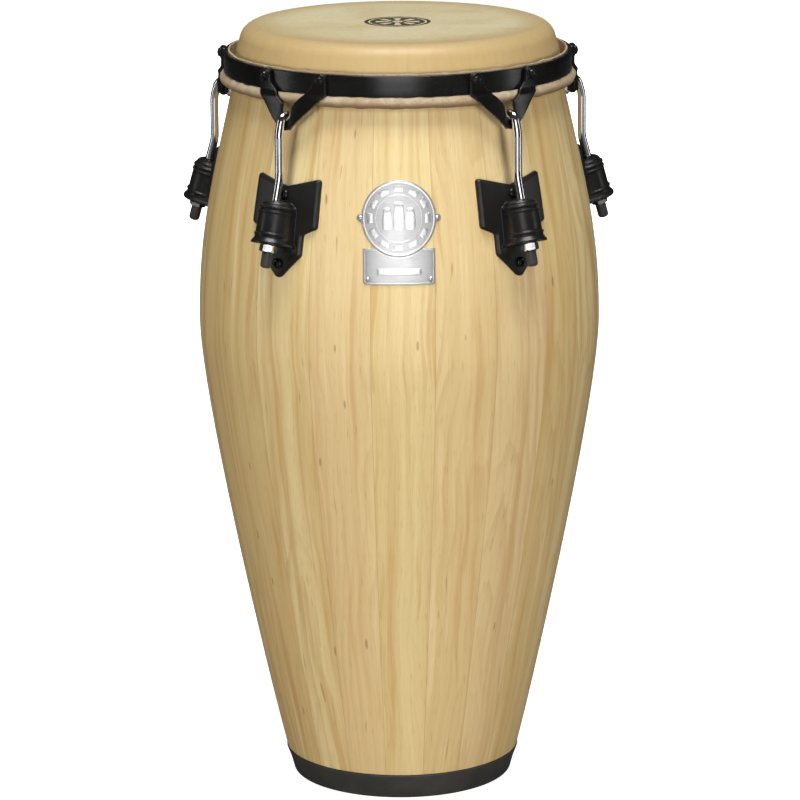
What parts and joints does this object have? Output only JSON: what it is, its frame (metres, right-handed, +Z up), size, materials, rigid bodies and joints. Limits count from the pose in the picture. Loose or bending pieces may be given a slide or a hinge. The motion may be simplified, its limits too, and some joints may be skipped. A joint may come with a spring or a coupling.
{
  "type": "conga drum",
  "caption": "Tall barrel-shaped stave hand drum with a hide head, steel tuning ring, side lugs with hook rods and a rubber foot.",
  "frame": {"origin": "on the drum's axis at floor level, at the centre of the opening in the foot", "axes": "+Z up along the drum's axis to the head, -Y towards the badge, +X to the right of someone looking at the badge"},
  "size_m": [0.4028, 0.3958, 0.711],
  "materials": {
    "rubberwood": "clear satin lacquer over vertical grain",
    "hide": "dry buffalo hide, slightly waxy",
    "black_steel": "black powder coat, semi-gloss",
    "black_casting": "black powder coat, satin",
    "chrome_rod": "bright chrome plate",
    "zinc_steel": "zinc plate",
    "black_rubber": "moulded rubber, matte",
    "satin_badge": "satin brushed with a bright rim"
  },
  "bodies": {
    "shell": {"stave_01": "rubberwood", "stave_02": "rubberwood", "stave_03": "rubberwood", "stave_04": "rubberwood", "stave_05": "rubberwood", "stave_06": "rubberwood", "stave_07": "rubberwood", "stave_08": "rubberwood", "stave_09": "rubberwood", "stave_10": "rubberwood", "stave_11": "rubberwood", "stave_12": "rubberwood", "stave_13": "rubberwood", "stave_14": "rubberwood", "stave_15": "rubberwood", "stave_16": "rubberwood", "stave_17": "rubberwood", "stave_18": "rubberwood", "stave_19": "rubberwood", "stave_20": "rubberwood", "foot_ring": "black_rubber", "drum_skin": "hide", "side_plate_1": "black_casting", "side_plate_2": "black_casting", "side_plate_3": "black_casting", "side_plate_4": "black_casting", "side_plate_5": "black_casting", "plate_bolts": "black_steel", "plate_washers": "zinc_steel", "plate_nuts": "zinc_steel", "badge_disc": "satin_badge", "name_plate": "satin_badge", "badge_nails": "satin_badge"},
    "tuning_ring": {"tuning_ring": "black_steel", "flesh_hoop": "zinc_steel", "skin_collar": "hide", "hook_hanger_1": "black_steel", "hook_hanger_2": "black_steel", "hook_hanger_3": "black_steel", "hook_hanger_4": "black_steel", "hook_hanger_5": "black_steel", "hanger_rivets": "black_steel"},
    "hook_1": {"tension_hook_1": "chrome_rod", "end_cap_1": "black_rubber"},
    "nut_1": {"tension_nut_1": "chrome_rod"},
    "hook_2": {"tension_hook_2": "chrome_rod", "end_cap_2": "black_rubber"},
    "nut_2": {"tension_nut_2": "chrome_rod"},
    "hook_3": {"tension_hook_3": "chrome_rod", "end_cap_3": "black_rubber"},
    "nut_3": {"tension_nut_3": "chrome_rod"},
    "hook_4": {"tension_hook_4": "chrome_rod", "end_cap_4": "black_rubber"},
    "nut_4": {"tension_nut_4": "chrome_rod"},
    "hook_5": {"tension_hook_5": "chrome_rod", "end_cap_5": "black_rubber"},
    "nut_5": {"tension_nut_5": "chrome_rod"}
  },
  "joints": [
    {"name": "head_tuning", "type": "slide", "parent": "shell", "child": "tuning_ring", "axis": [0, 0, -1], "range_m": [0, 0.006], "deforming": ["skin_collar"]},
    {"name": "hook_swing_1", "type": "hinge", "parent": "tuning_ring", "child": "hook_1", "pos_m": [0.09992, -0.13753, 0.6423], "axis": [-0.809, -0.5878, 0], "range_deg": [0, 0.867]},
    {"name": "nut_turn_1", "type": "hinge", "parent": "shell", "child": "nut_1", "pos_m": [0.11597, -0.15962, 0.533], "axis": [-0.162, 0.223, 0.9613], "range_deg": [0, 1488]},
    {"name": "hook_swing_2", "type": "hinge", "parent": "tuning_ring", "child": "hook_2", "pos_m": [0.16168, 0.05253, 0.6423], "axis": [0.309, -0.9511, 0], "range_deg": [0, 0.867]},
    {"name": "nut_turn_2", "type": "hinge", "parent": "shell", "child": "nut_2", "pos_m": [0.18764, 0.06097, 0.533], "axis": [-0.2621, -0.0852, 0.9613], "range_deg": [0, 1488]},
    {"name": "hook_swing_3", "type": "hinge", "parent": "tuning_ring", "child": "hook_3", "pos_m": [0, 0.17, 0.6423], "axis": [1, 0, 0], "range_deg": [0, 0.867]},
    {"name": "nut_turn_3", "type": "hinge", "parent": "shell", "child": "nut_3", "pos_m": [0, 0.1973, 0.533], "axis": [0, -0.2756, 0.9613], "range_deg": [0, 1488]},
    {"name": "hook_swing_4", "type": "hinge", "parent": "tuning_ring", "child": "hook_4", "pos_m": [-0.16168, 0.05253, 0.6423], "axis": [0.309, 0.9511, 0], "range_deg": [0, 0.867]},
    {"name": "nut_turn_4", "type": "hinge", "parent": "shell", "child": "nut_4", "pos_m": [-0.18764, 0.06097, 0.533], "axis": [0.2621, -0.0852, 0.9613], "range_deg": [0, 1488]},
    {"name": "hook_swing_5", "type": "hinge", "parent": "tuning_ring", "child": "hook_5", "pos_m": [-0.09992, -0.13753, 0.6423], "axis": [-0.809, 0.5878, 0], "range_deg": [0, 0.867]},
    {"name": "nut_turn_5", "type": "hinge", "parent": "shell", "child": "nut_5", "pos_m": [-0.11597, -0.15962, 0.533], "axis": [0.162, 0.223, 0.9613], "range_deg": [0, 1488]}
  ],
  "couplings": [
    {"joint": "hook_swing_1", "follows": "head_tuning", "rad_per_m": 2.52},
    {"joint": "nut_turn_1", "follows": "head_tuning", "rad_per_m": 4323.8},
    {"joint": "hook_swing_2", "follows": "head_tuning", "rad_per_m": 2.52},
    {"joint": "nut_turn_2", "follows": "head_tuning", "rad_per_m": 4323.8},
    {"joint": "hook_swing_3", "follows": "head_tuning", "rad_per_m": 2.52},
    {"joint": "nut_turn_3", "follows": "head_tuning", "rad_per_m": 4323.8},
    {"joint": "hook_swing_4", "follows": "head_tuning", "rad_per_m": 2.52},
    {"joint": "nut_turn_4", "follows": "head_tuning", "rad_per_m": 4323.8},
    {"joint": "hook_swing_5", "follows": "head_tuning", "rad_per_m": 2.52},
    {"joint": "nut_turn_5", "follows": "head_tuning", "rad_per_m": 4323.8}
  ]
}
